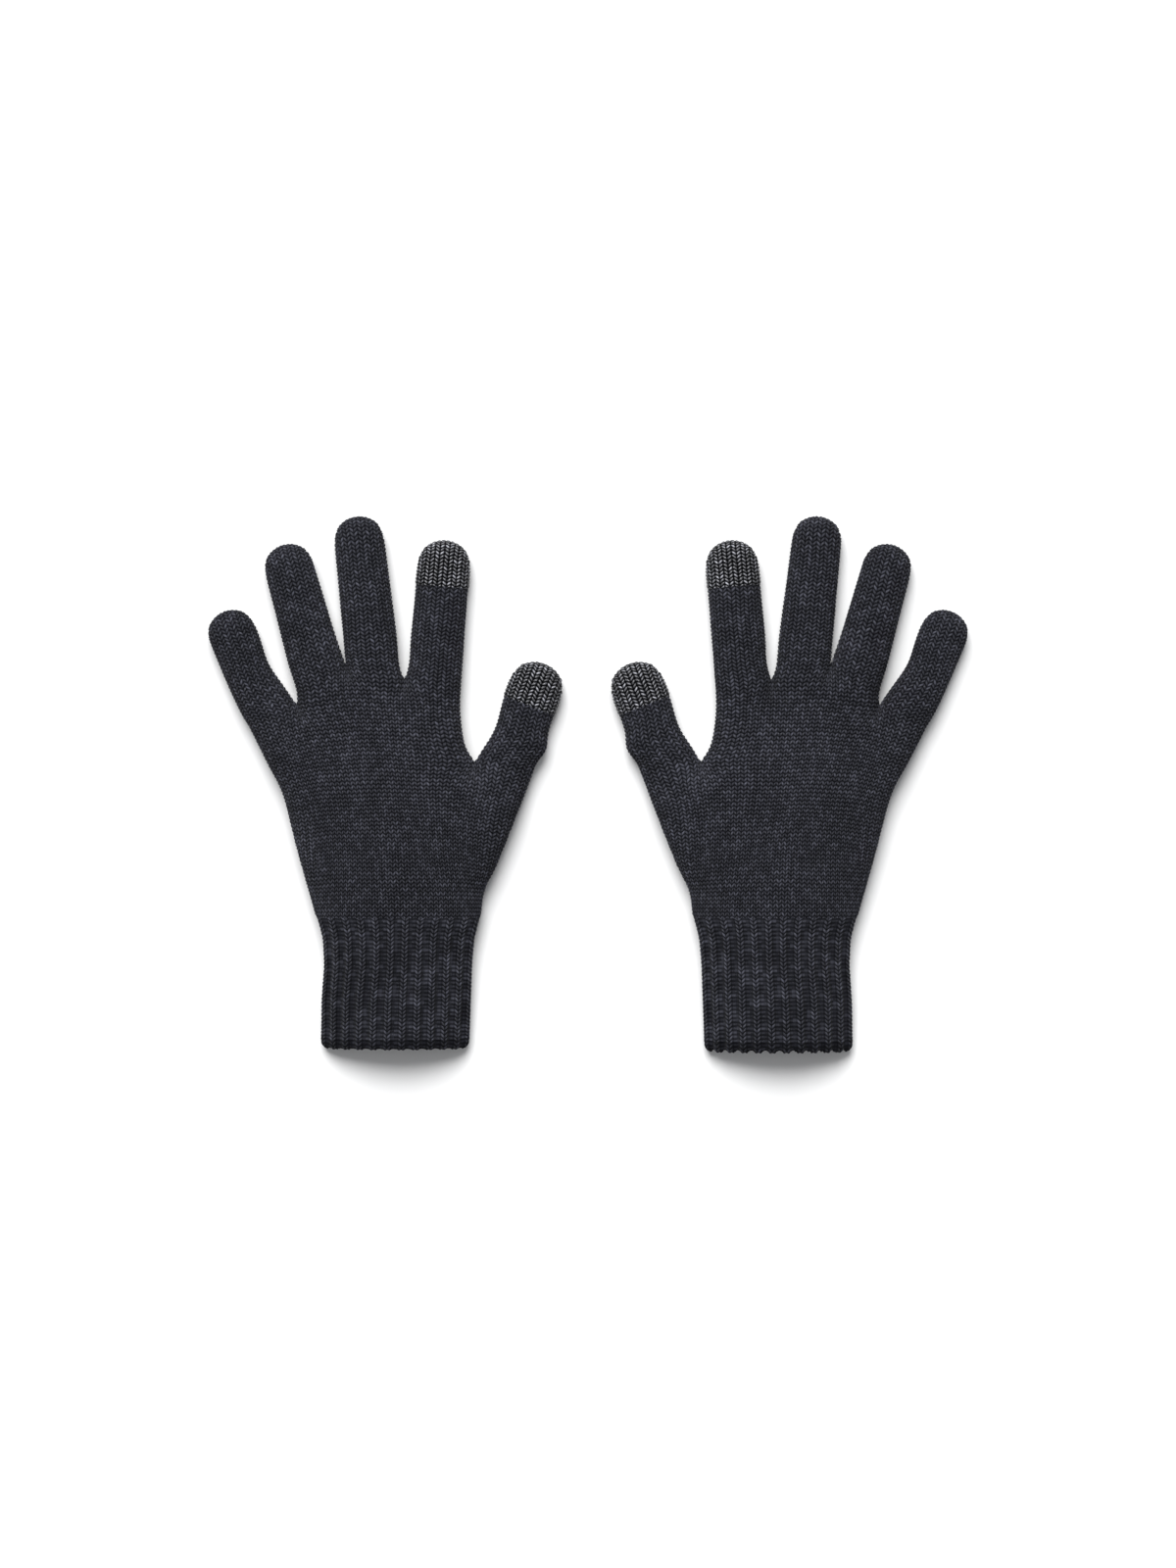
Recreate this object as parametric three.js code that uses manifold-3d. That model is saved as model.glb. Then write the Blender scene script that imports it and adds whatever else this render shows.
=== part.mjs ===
// A pair of seamless knitted touchscreen gloves, lying flat with the palms up.
// Millimetres: +X to the right, +Y from the cuffs to the fingertips, +Z up. The gloves rest on z = 0.
// One glove is built in its own frame, with its origin at the middle of the cuff's hem and +X
// towards the thumb, and the other glove is its mirror image.
import * as THREE from 'three';
import { mergeVertices } from 'three/addons/utils/BufferGeometryUtils.js';
import Module from 'manifold-3d';

const wasm = await Module();
wasm.setup();

// ---- driving dimensions ----
const GLOVE_LENGTH = 240; // hem to the tip of the middle finger
const CUFF_SPREAD = 86; // from the pair's middle plane to the middle of each cuff
const KNIT = 2.0; // thickness of the plain knit
const RIB = 2.8; // thickness of the ribbed cuff
const GAP = 0.4; // slit between two neighbouring pieces

// Every cross-section is an oval with a flat underside.
const WIDEST = 0.4; // height of a section's widest place, as a share of its height
const SIDE_POWER = 0.8; // below 1 gives fuller sides than an ellipse has
const TOP_POWER = 0.9; // below 1 gives a fuller top

// Hem and cuff, measured along Y from the hem.
const HEM_LENGTH = 5;
const HEM_ROLL = 0.6; // how far the rolled hem stands proud of the rib
const HEM_ROUNDING = 0.9; // its rounded outer edge
const HEM_EXTRA = 0.3; // how much thicker than the rib it is, at its mouth
const WRIST = 60; // where the ribbed cuff ends and the plain knit starts
const WRIST_AXIS_HEIGHT = 9;
const WRIST_SWING = 45; // degrees each way
const CUFF_SECTIONS = [
  { y: 0, middle: -0.9, half: 32.6, height: 20.5 },
  { y: 22, middle: -0.3, half: 33.1, height: 20 },
  { y: 39, middle: 0.6, half: 32.8, height: 19 },
  { y: WRIST, middle: 0.8, half: 36.4, height: 18 },
];

// Elastic yarn laid into the inside of the rib, one continuous coil.
const ELASTIC_TURNS = 4;
const ELASTIC_RADIUS = 0.6;
const ELASTIC_START = 14;
const ELASTIC_PITCH = 7;
const ELASTIC_STEPS_PER_TURN = 18;
const ELASTIC_SPARE = { side: 0.9, below: 0.6, above: 1.0 }; // between the coil and the rib

const PALM_SECTIONS = [
  { y: WRIST, middle: 0.8, half: 36.4, height: 18 },
  { y: 75, middle: -0.6, half: 39.0, height: 19 },
  { y: 95, middle: -3.8, half: 42.0, height: 20 },
  { y: 115, middle: -7.2, half: 43.8, height: 20 },
  { y: 134, middle: -12.0, half: 45.5, height: 18.5 },
  { y: 147, middle: -16.0, half: 45.5, height: 16.5 },
  { y: 155, middle: -12.0, half: 38.0, height: 15.5 },
];

// Each digit: the middle of the bend at its base, its lean from +Y (positive leans away from the
// thumb), its length from there to its tip, its half widths, the distance to its second bend, and
// where its touchscreen yarn starts, if it has any.
const DIGITS = {
  little: { base: [-58.3, 153.1], lean: 24.3, length: 48.1, half: 11.5, tip: 10.7, bend: 23 },
  ring: { base: [-35.9, 172.9], lean: 15.6, length: 56.6, half: 11.9, tip: 10.9, bend: 28 },
  middle: { base: [-11.0, 177.7], lean: 6.4, length: 62.6, half: 12.0, tip: 11.0, bend: 31 },
  index: { base: [16.95, 169.1], lean: -5, length: 60.2, half: 12.1, tip: 11.5, bend: 27, touch: 39.6 },
  thumb: { base: [48.5, 128.4], lean: -21.4, length: 49, half: 12.6, tip: 12.2, bend: 15.7, touch: 28.9 },
};
const FINGER_HEIGHT = 15.5; // at the base bend
const TIP_HEIGHT = 13.5; // where the round end starts
const ROOT_HEIGHT = 17; // deep in the palm
const ROOT_DEPTH = { little: 20, ring: 34, middle: 38, index: 32, thumb: 62 };
const ROOT_HALF = { little: 8, ring: 12, middle: 12.5, index: 12, thumb: 4 };
const CROTCH_DEPTH = 10; // below the base bend, where neighbouring digits meet
const CROTCH_HALF = { little: 11.8, ring: 13.4, middle: 13.4, index: 13.2, thumb: 13.0 };
const BASE_AXIS_HEIGHT = 10; // height of the base bend's axis
const MIDDLE_AXIS_HEIGHT = 9.5; // height of the second bend's axis
const BASE_BEND = 80; // degrees that a finger bends at its base
const MIDDLE_BEND = 88; // degrees at its second bend
const NOTCH_SPARE = 3; // degrees kept free beyond a bend's range
const NOTCH_REACH = 14; // how far from its axis a notch is cut
// The thumb has the same notches, although it bends less than a finger.

// The round end of a digit: rings at these angles from its start, closing in as they rise.
const TIP_ANGLES = [30, 55, 75];
const TIP_UNDER_POWER = 0.5;
const TIP_TOP_POWER = 0.7;

// Cutting blocks reach past what they cut.
const UNDER = -1;
const OVER = 30;
const BEYOND = 5;
const HAND_REACH = 120; // to either side of the whole hand
const CUFF_REACH = 60; // to either side of the cuff
const DIGIT_SPARE = 1.2; // to either side of a digit, clear of its neighbours

const DIGIT_SIDES = 12;
const PALM_SIDES = 24;

const knitYarn = new THREE.MeshStandardMaterial({ color: 0x24262c, roughness: 0.95, metalness: 0 });
const ribYarn = new THREE.MeshStandardMaterial({ color: 0x22242a, roughness: 0.95, metalness: 0 });
const hemYarn = new THREE.MeshStandardMaterial({ color: 0x1e2026, roughness: 0.95, metalness: 0 });
const elasticYarn = new THREE.MeshStandardMaterial({ color: 0x17181b, roughness: 0.6, metalness: 0 });
const touchYarn = new THREE.MeshStandardMaterial({ color: 0x4a4d55, roughness: 0.7, metalness: 0.15 });

const radians = THREE.MathUtils.degToRad;

// ---- sections and skins ----

// A place on an oval: straight along the table, round at the sides, arched above. The underside
// is flat wherever the angle's sine is beyond minus flat.
function ovalPoint(angle, half, bottom, top, flat) {
  const widest = bottom + (top - bottom) * WIDEST;
  const across = Math.sign(Math.cos(angle)) * Math.abs(Math.cos(angle)) ** SIDE_POWER;
  const up = Math.sin(angle);
  const z = up > 0 ? widest + (top - widest) * up ** TOP_POWER
    : widest - (widest - bottom) * Math.min(1, -up / flat);
  return [half * across, z];
}

function oval(sides, half, bottom, top) {
  const flat = Math.cos(Math.PI / sides);
  const points = [];
  for (let i = 0; i < sides; i += 1) {
    const angle = -Math.PI / 2 + (i + 0.5) * 2 * Math.PI / sides;
    points.push(ovalPoint(angle, half, bottom, top, flat));
  }
  return points;
}

// A closed solid through rings of points, all with the same count, each ring a flat face at an end.
function loft(rings) {
  const count = rings[0].length;
  const positions = rings.flat(2);
  const faces = [];
  for (let r = 0; r + 1 < rings.length; r += 1) {
    for (let i = 0; i < count; i += 1) {
      const a = r * count + i;
      const b = r * count + (i + 1) % count;
      faces.push(a, a + count, b, b, a + count, b + count);
    }
  }
  const last = (rings.length - 1) * count;
  for (let i = 1; i + 1 < count; i += 1) {
    faces.push(0, i, i + 1, last, last + i + 1, last + i);
  }
  return solid(positions, faces);
}

// A solid for joining and cutting, made of closed triangles that face out.
function solid(positions, faces) {
  const geometry = new THREE.BufferGeometry();
  geometry.setAttribute('position', new THREE.Float32BufferAttribute(positions, 3));
  geometry.setIndex(faces);
  return fromGeometry(geometry);
}

function fromGeometry(geometry) {
  const bare = geometry.clone();
  bare.deleteAttribute('normal');
  bare.deleteAttribute('uv');
  const merged = mergeVertices(bare, 1e-4);
  return new wasm.Manifold(new wasm.Mesh({
    numProp: 3,
    vertProperties: Float32Array.from(merged.attributes.position.array),
    triVerts: Uint32Array.from(merged.index.array),
  }));
}

function toGeometry(manifold) {
  const mesh = manifold.getMesh();
  const geometry = new THREE.BufferGeometry();
  geometry.setAttribute('position', new THREE.BufferAttribute(mesh.vertProperties, 3));
  geometry.setIndex(new THREE.BufferAttribute(mesh.triVerts, 1));
  geometry.computeVertexNormals();
  return geometry;
}

// A skin across the hand: sections along Y, shrunk by inset, its ends moved out by overrun.
function handLoft(sections, inset, overrun) {
  const last = sections.length - 1;
  return loft(sections.map((s, i) => {
    const shift = i === 0 ? -overrun : i === last ? overrun : 0;
    return oval(PALM_SIDES, s.half - inset, inset, s.height - inset)
      .map(([x, z]) => [s.middle + x, s.y + shift, z]);
  }));
}

// A digit's own frame: at the middle of its base bend, with +Y along the digit.
function digitMatrix(digit) {
  const matrix = new THREE.Matrix4().makeRotationZ(radians(digit.lean));
  matrix.setPosition(digit.base[0], digit.base[1], 0);
  return matrix;
}

// A digit's skin in its own frame, from its root in the palm to its round end.
function digitLoft(name, digit, inset) {
  const straight = digit.length - digit.tip;
  const sections = [
    { y: -ROOT_DEPTH[name], half: ROOT_HALF[name], top: ROOT_HEIGHT },
    { y: -CROTCH_DEPTH, half: CROTCH_HALF[name], top: FINGER_HEIGHT },
    { y: -CROTCH_DEPTH / 2, half: (digit.half + CROTCH_HALF[name]) / 2, top: FINGER_HEIGHT },
    { y: 0, half: digit.half, top: FINGER_HEIGHT },
    { y: straight, half: digit.tip, top: TIP_HEIGHT },
  ];
  const rings = sections.map((s) => oval(DIGIT_SIDES, s.half - inset, inset, s.top - inset)
    .map(([x, z]) => [x, s.y, z]));
  const reach = digit.tip - inset;
  const middle = TIP_HEIGHT * WIDEST;
  for (const angle of TIP_ANGLES) {
    const shrink = Math.cos(radians(angle));
    const y = straight + reach * Math.sin(radians(angle));
    const bottom = inset + (middle - inset) * (1 - shrink ** TIP_UNDER_POWER);
    const top = middle + (TIP_HEIGHT - inset - middle) * shrink ** TIP_TOP_POWER;
    rings.push(oval(DIGIT_SIDES, reach * shrink, bottom, top).map(([x, z]) => [x, y, z]));
  }
  return loft(rings);
}

function placed(manifold, matrix) {
  return manifold.transform(matrix.elements);
}

// ---- cutters ----

function block(x0, x1, y0, y1, z0, z1) {
  const box = new THREE.BoxGeometry(x1 - x0, y1 - y0, z1 - z0);
  box.translate((x0 + x1) / 2, (y0 + y1) / 2, (z0 + z1) / 2);
  return fromGeometry(box);
}

// The room that a bend needs at y: a thin slit, and a notch that opens above the axis.
function bendCutter(y, halfWidth, axisHeight, degrees, bothWays = false) {
  const spread = Math.tan(radians(degrees / 2 + NOTCH_SPARE)) * NOTCH_REACH + GAP / 2;
  const outline = new THREE.Shape();
  outline.moveTo(-GAP / 2, axisHeight);
  outline.lineTo(bothWays ? -spread : -GAP / 2, axisHeight - NOTCH_REACH);
  outline.lineTo(bothWays ? spread : GAP / 2, axisHeight - NOTCH_REACH);
  outline.lineTo(GAP / 2, axisHeight);
  outline.lineTo(spread, axisHeight + NOTCH_REACH);
  outline.lineTo(-spread, axisHeight + NOTCH_REACH);
  const prism = new THREE.ExtrudeGeometry(outline, { depth: 2 * halfWidth, bevelEnabled: false });
  prism.rotateX(Math.PI / 2);
  prism.rotateZ(Math.PI / 2);
  prism.translate(-halfWidth, y, 0);
  return fromGeometry(prism);
}

// A plain slit at y, where one yarn ends and the next starts.
function slitCutter(y, halfWidth) {
  return block(-halfWidth, halfWidth, y - GAP / 2, y + GAP / 2, UNDER, OVER);
}

// ---- the glove ----

function cuffElastic() {
  const [end, , narrow] = CUFF_SECTIONS;
  const wall = RIB + ELASTIC_RADIUS;
  const half = end.half - wall - ELASTIC_SPARE.side;
  const bottom = wall + ELASTIC_SPARE.below;
  const top = narrow.height - wall - ELASTIC_SPARE.above;
  const points = [];
  const steps = ELASTIC_TURNS * ELASTIC_STEPS_PER_TURN;
  for (let i = 0; i <= steps; i += 1) {
    const turn = i / ELASTIC_STEPS_PER_TURN;
    const y = ELASTIC_START + turn * ELASTIC_PITCH;
    const middle = THREE.MathUtils.lerp(end.middle, narrow.middle, y / WRIST);
    const [x, z] = ovalPoint(2 * Math.PI * turn, half, bottom, top, 1);
    points.push(new THREE.Vector3(middle + x, y, z));
  }
  const section = new THREE.Shape();
  section.absarc(0, 0, ELASTIC_RADIUS, 0, 2 * Math.PI);
  return new THREE.ExtrudeGeometry(section, {
    steps,
    curveSegments: 3,
    extrudePath: new THREE.CatmullRomCurve3(points),
  });
}

function buildGlove(side) {
  const glove = new THREE.Group();
  const addSolid = (name, manifold, material) => {
    const mesh = new THREE.Mesh(toGeometry(manifold), material);
    mesh.name = `${side}_${name}`;
    glove.add(mesh);
  };

  // The hand's knit, hollow, with all five digits on it.
  let outer = handLoft(PALM_SECTIONS, 0, 0);
  let inner = handLoft(PALM_SECTIONS, KNIT, 1);
  for (const [name, digit] of Object.entries(DIGITS)) {
    const matrix = digitMatrix(digit);
    outer = outer.add(placed(digitLoft(name, digit, 0), matrix));
    inner = inner.add(placed(digitLoft(name, digit, KNIT), matrix));
  }
  const aboveWrist = block(-HAND_REACH, HAND_REACH, WRIST, GLOVE_LENGTH + BEYOND, UNDER, OVER);
  const knit = outer.intersect(aboveWrist).subtract(inner);

  // Each digit is cut off at its base bend, and again at its second bend and its touch yarn.
  let palm = knit;
  for (const [name, digit] of Object.entries(DIGITS)) {
    const matrix = digitMatrix(digit);
    const end = digit.length + BEYOND;
    const reach = digit.half + DIGIT_SPARE;
    const cutAt = (y0, y1) => placed(block(-reach, reach, y0, y1, UNDER, OVER), matrix);
    const baseCut = placed(bendCutter(0, reach, BASE_AXIS_HEIGHT, BASE_BEND), matrix);
    const bendCut = placed(bendCutter(digit.bend, reach, MIDDLE_AXIS_HEIGHT, MIDDLE_BEND), matrix);
    palm = palm.subtract(cutAt(0, end)).subtract(baseCut);
    addSolid(`${name}_lower`, knit.intersect(cutAt(0, digit.bend)).subtract(baseCut)
      .subtract(bendCut), knitYarn);
    const upper = knit.intersect(cutAt(digit.bend, end)).subtract(bendCut);
    if (digit.touch) {
      const slit = placed(slitCutter(digit.touch, reach), matrix);
      const beyond = cutAt(digit.touch, end);
      addSolid(`${name}_upper`, upper.subtract(beyond).subtract(slit), knitYarn);
      addSolid(`${name}_touch_tip`, upper.intersect(beyond).subtract(slit), touchYarn);
    } else {
      addSolid(`${name}_upper`, upper, knitYarn);
    }
  }
  const wristCut = bendCutter(WRIST, CUFF_REACH, WRIST_AXIS_HEIGHT, WRIST_SWING, true);
  addSolid('palm', palm.subtract(wristCut), knitYarn);

  // The ribbed cuff, its rolled hem, and the elastic yarn inside it.
  const rib = handLoft(CUFF_SECTIONS, 0, 0).subtract(handLoft(CUFF_SECTIONS, RIB, 1));
  const hemSlit = slitCutter(HEM_LENGTH, CUFF_REACH);
  const beyondHem = block(-CUFF_REACH, CUFF_REACH, HEM_LENGTH, WRIST, UNDER, OVER);
  addSolid('cuff_rib', rib.intersect(beyondHem).subtract(hemSlit).subtract(wristCut), ribYarn);
  addSolid('cuff_hem', hemRing().subtract(hemSlit), hemYarn);
  const elastic = new THREE.Mesh(cuffElastic(), elasticYarn);
  elastic.name = `${side}_cuff_elastic`;
  glove.add(elastic);
  return glove;
}

// The rolled hem: a rounded edge, a little thicker than the rib that it ends.
function hemRing() {
  const [end, next] = CUFF_SECTIONS;
  const profile = [[0, HEM_ROUNDING], [HEM_ROUNDING, 0], [HEM_LENGTH, 0]];
  const ring = (y, inset) => {
    const t = y / next.y;
    const half = THREE.MathUtils.lerp(end.half, next.half, t) + HEM_ROLL - inset;
    const middle = THREE.MathUtils.lerp(end.middle, next.middle, t);
    const top = THREE.MathUtils.lerp(end.height, next.height, t) + HEM_ROLL - inset;
    return oval(PALM_SIDES, half, Math.max(0, inset), top).map(([x, z]) => [middle + x, y, z]);
  };
  const outside = loft(profile.map(([y, inset]) => ring(y, inset)));
  const bore = loft([ring(-1, RIB + HEM_EXTRA), ring(HEM_LENGTH + 1, RIB + HEM_ROLL + HEM_EXTRA)]);
  return outside.subtract(bore);
}

const pair = new THREE.Group();
const rightGlove = buildGlove('right');
rightGlove.position.set(-CUFF_SPREAD, -GLOVE_LENGTH / 2, 0);
const leftGlove = buildGlove('left');
leftGlove.scale.x = -1;
leftGlove.position.set(CUFF_SPREAD, -GLOVE_LENGTH / 2, 0);
pair.add(rightGlove, leftGlove);

export default pair;
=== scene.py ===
"""A pair of knitted touchscreen gloves, lying palm up on a white table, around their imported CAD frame."""
import math

import bpy
import numpy as np
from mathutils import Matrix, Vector


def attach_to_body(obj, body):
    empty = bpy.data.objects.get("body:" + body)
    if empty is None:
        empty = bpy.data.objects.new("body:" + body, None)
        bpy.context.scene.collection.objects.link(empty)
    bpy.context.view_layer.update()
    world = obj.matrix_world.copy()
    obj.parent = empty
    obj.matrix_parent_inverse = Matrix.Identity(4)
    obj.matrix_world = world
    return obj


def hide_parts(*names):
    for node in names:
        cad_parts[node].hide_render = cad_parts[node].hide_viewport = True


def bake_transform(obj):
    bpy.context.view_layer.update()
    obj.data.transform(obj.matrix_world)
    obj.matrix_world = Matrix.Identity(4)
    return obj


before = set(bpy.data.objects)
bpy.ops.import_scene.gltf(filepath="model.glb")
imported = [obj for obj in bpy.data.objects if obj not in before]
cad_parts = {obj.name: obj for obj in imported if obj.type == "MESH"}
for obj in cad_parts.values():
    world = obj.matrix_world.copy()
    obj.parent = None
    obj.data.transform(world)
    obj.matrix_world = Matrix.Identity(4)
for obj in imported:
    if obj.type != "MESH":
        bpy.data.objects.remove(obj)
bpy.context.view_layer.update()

# ---------------------------------------------------------------- the camera
# The camera looks straight down at the middle of the pair.
VIEW_HEIGHT = 0.704  # the height of the picture on the plane of the gloves' outlines, in metres
OUTLINE_PLANE = 0.008
CAMERA_DISTANCE = 2.6
SENSOR = 36.0


def add_camera():
    data = bpy.data.cameras.new("camera")
    data.sensor_fit = "VERTICAL"
    data.sensor_height = SENSOR
    data.lens = SENSOR * CAMERA_DISTANCE / VIEW_HEIGHT
    data.clip_end = 20.0
    camera = bpy.data.objects.new("camera", data)
    camera.location = (0.0, 0.0, OUTLINE_PLANE + CAMERA_DISTANCE)
    bpy.context.scene.collection.objects.link(camera)
    bpy.context.scene.camera = camera


add_camera()

# ---------------------------------------------------------------- sizes, in millimetres
# A glove has its own frame: the origin is the middle of the hem, +x points to the thumb's side and +y to
# the fingertips. The right-hand glove stands to the left of the middle, and the left-hand glove mirrors it.
SPREAD = 86.0
LENGTH = 240.0
MM = 0.001

WRIST = 60.0
COURSE = 1.85  # the height of a stitch
ROW = 3.0  # the height of one row of the cage that the surface is made from
STRIP = 8  # columns of the cage for each digit
WALES = 9.0  # stitches across the front of a digit, and across its share of the palm
WRIST_WALES = 0.9  # the share of the wales that the wrist keeps
RIBS = 12
RIB_KNIT = 2.8
WIDEST = 0.4  # the height of the widest place, as a share of the thickness
MOUTH_WIDEST = 0.15  # the same at the cuff's mouth, whose sides lie flat on the table
MOUTH_POWER = 1.6  # how full the arch of the mouth is: 1 would be two straight slopes

# y, middle, half width and thickness of the cuff
CUFF = ((0.0, -0.7, 33.5, 20.2), (22.0, -0.2, 33.5, 19.8), (39.0, 0.7, 33.0, 18.8), (51.0, 0.9, 33.8, 18.4),
        (60.0, 0.9, 36.6, 18.0))
HEM_CORNER = 4.4  # the rounding of the hem's corners
HEM_CORNER_FADE = 14.0  # how far up the cuff the corners' lift is felt
WRIST_TURN = 81.0  # degrees that the columns reach round to each side at the wrist
WRIST_ROUNDING = 33.0  # the width of the wrist's rounded border
PALM_THICKNESS = ((60, 75, 95, 115, 134, 147, 155), (18.0, 19.0, 20.0, 20.0, 18.5, 16.5, 15.5))
FINGER_THICKNESS = 15.5
TIP_THICKNESS = 13.5
HEM = 5.0
HEM_RADIUS = RIB_KNIT / 2
CUFF_ROWS = 20

# Each digit: where its middle line starts, how far it leans from +y, its half width at the base and at the
# tip, how far along it the tip's round end is centred, the ends of the stretches that bend, and the touch yarn.
DIGITS = {
    "little": dict(base=(-58.3, 153.1), lean=24.3, half=11.5, tip=10.7, end=37.4, base_zone=(-2, 13),
                   split=13.5, middle_zone=(14, 32)),
    "ring": dict(base=(-35.9, 172.9), lean=15.6, half=11.9, tip=10.9, end=45.4, base_zone=(-2, 17),
                 split=17.5, middle_zone=(18, 38)),
    "middle": dict(base=(-11.0, 177.7), lean=6.4, half=12.0, tip=11.0, end=51.6, base_zone=(-2, 18),
                   split=18.5, middle_zone=(19, 43)),
    "index": dict(base=(16.95, 169.1), lean=-5.0, half=12.1, tip=11.5, end=48.5, base_zone=(-2, 16),
                  split=16.5, middle_zone=(17, 37), touch=39.6),
    "thumb": dict(base=(48.8, 128.4), lean=-21.4, half=12.5, tip=11.9, end=36.5, base_zone=(-3, 7.4),
                  split=7.7, middle_zone=(8, 23.4), touch=28.9),
}
NAMES = list(DIGITS)

# The rows of the cage at which each digit leaves the palm piece, changes from its lower to its upper piece,
# reaches its touch yarn, and starts its round end.
ROWS = {
    "little": dict(root=31, split=38, end=46),
    "ring": dict(root=37, split=44, end=53),
    "middle": dict(root=38, split=46, end=57),
    "index": dict(root=36, split=43, touch=51, end=54),
    "thumb": dict(root=22, split=27, touch=34, end=37),
}

# The six lines between and beside the digits, from the wrist up to the place where they leave the palm: a
# crotch between two digits, or the place where the outline joins the outer digit's side.
# "row" is the cage row of that place, and "lean" the line's direction there.
LINES = [
    dict(via=((-40.4, 76.3), (-45.0, 93.0), (-50.8, 115.4), (-57.6, 129.0)), top=(-66.4, 146.5), row=32),
    dict(top=(-44.9, 155.8), row=33, lean=21.0),
    dict(top=(-22.9, 173.4), row=38, lean=11.0),
    dict(top=(3.5, 167.2), row=36, lean=2.0),
    dict(top=(35.2, 130.2), row=24, lean=-17.0),
    dict(via=((39.2, 72.2), (43.6, 81.0), (49.7, 95.5), (55.9, 111.3)), top=(62.0, 127.2), row=25),
]
# Where a digit's side is fuller or slimmer than a straight taper: digit, side, along, by, spread.
FULLNESS = (("thumb", 1, 13.5, 2.4, 5.0), ("thumb", -1, 14.0, -2.1, 11.0), ("little", 1, 19.0, -2.0, 10.0),
            ("ring", -1, -8.0, -1.0, 7.0), ("middle", 1, -6.0, -0.9, 8.0), ("index", -1, 4.0, -0.8, 8.0),
            ("index", 1, -26.0, 1.3, 10.0))
FLARE_LENGTH = 6.5  # how fast a digit's flare at its crotch fades
OUTSET = 0.35  # smoothing pulls the outline in by this much, and a round end by more
TIP_OUTSET = 0.45
VALLEY_ROWS = 4.0  # how far the valley between two digits runs down into the palm
PALM_ROUNDING = 22.0  # the width of the rounded border of the palm
BACK_ROUNDING = 8.0
ROUND_POWER = 2.2  # how full a rounded border is: 2 would be a quarter of an ellipse
LINE_PULL = 0.36  # how stiffly a crotch's line keeps its direction at its ends
SWELL = 0.7  # how high the gentle waves of the palm side are
WALE_WANDER, COURSE_WANDER = 0.16, 0.22  # how far the stitches stray from straight lines, in stitches
CORNER = 36.0  # degrees round a fingertip at which the cage's corner sits
TIP_ROWS = 5


def smooth(x):
    x = np.clip(x, 0.0, 1.0)
    return x * x * (3.0 - 2.0 * x)


def mix(a, b, w):
    return a + (b - a) * w


def rounded(distance, width, power=ROUND_POWER):
    """0 at an edge, and 1 from this width inwards, along a quarter of an oval."""
    left = np.clip(1.0 - distance / width, 0.0, 1.0)
    return (1.0 - left**power) ** (1.0 / power)


# ---------------------------------------------------------------- the cage in plan
def axes_of(digit):
    lean = math.radians(digit["lean"])
    along = np.array([-math.sin(lean), math.cos(lean)])
    across = np.array([math.cos(lean), math.sin(lean)])
    return np.array(digit["base"]), along, across


def share_table():
    """Where the columns of a digit lie across it, from 0 to 1, at equal distances over its rounded front."""
    x = np.linspace(-1.0, 1.0, 2001)
    z = rounded(1 - np.abs(x), 1.0) * FINGER_THICKNESS * (1 - WIDEST) / 12.0
    length = np.concatenate([[0.0], np.cumsum(np.hypot(np.diff(x), np.diff(z)))])
    return np.interp(np.linspace(0.0, length[-1], STRIP + 1), length, (x + 1) / 2)


DIGIT_SHARE = share_table()


def wrist_share(column):
    """Where a column crosses the wrist, from -1 to 1, closer together at the sides, which are steep."""
    turn = math.radians(WRIST_TURN)
    return math.sin(turn * (column / (2.5 * STRIP) - 1.0)) / math.sin(turn)


def curve_through(points, steps=24):
    """A smooth line through the points, and where each point lies along it."""
    p = np.array([2 * np.array(points[0]) - points[1], *points, 2 * np.array(points[-1]) - points[-2]], float)
    u = np.linspace(0.0, 1.0, steps, endpoint=False)[:, None]
    parts = []
    for i in range(1, len(p) - 2):
        a, b, c, d = p[i - 1 : i + 3]
        parts.append(0.5 * (2 * b + (c - a) * u + (2 * a - 5 * b + 4 * c - d) * u**2
                            + (3 * b - a - 3 * c + d) * u**3))
    return np.concatenate([*parts, p[-2:-1]])


def spaced(line, count):
    """Points along a line, count steps of equal length apart."""
    length = np.concatenate([[0.0], np.cumsum(np.linalg.norm(np.diff(line, axis=0), axis=1))])
    at = np.linspace(0.0, length[-1], count + 1)
    return np.stack([np.interp(at, length, line[:, i]) for i in (0, 1)], 1)


def palm_line(index):
    """One of the six lines, a point for each row from the wrist to its top."""
    spec = LINES[index]
    _, middle, half, _ = CUFF[-1]
    start = (middle + half * wrist_share(index * STRIP), WRIST)
    if "via" in spec:
        out = np.array([math.copysign(OUTSET, start[0]), 0.0])
        return spaced(curve_through([start, *spec["via"], spec["top"]]), spec["row"]) + out
    lean = math.radians(spec["lean"])
    a, d = np.array(start), np.array(spec["top"])
    reach = np.linalg.norm(d - a) * LINE_PULL
    b, c = a + (0.0, reach), d - reach * np.array([-math.sin(lean), math.cos(lean)])
    u = np.linspace(0.0, 1.0, 60)[:, None]
    return spaced((1 - u) ** 3 * a + 3 * u * (1 - u) ** 2 * b + 3 * u * u * (1 - u) * c + u**3 * d, spec["row"])


PALM_LINES = [palm_line(i) for i in range(6)]


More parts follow.
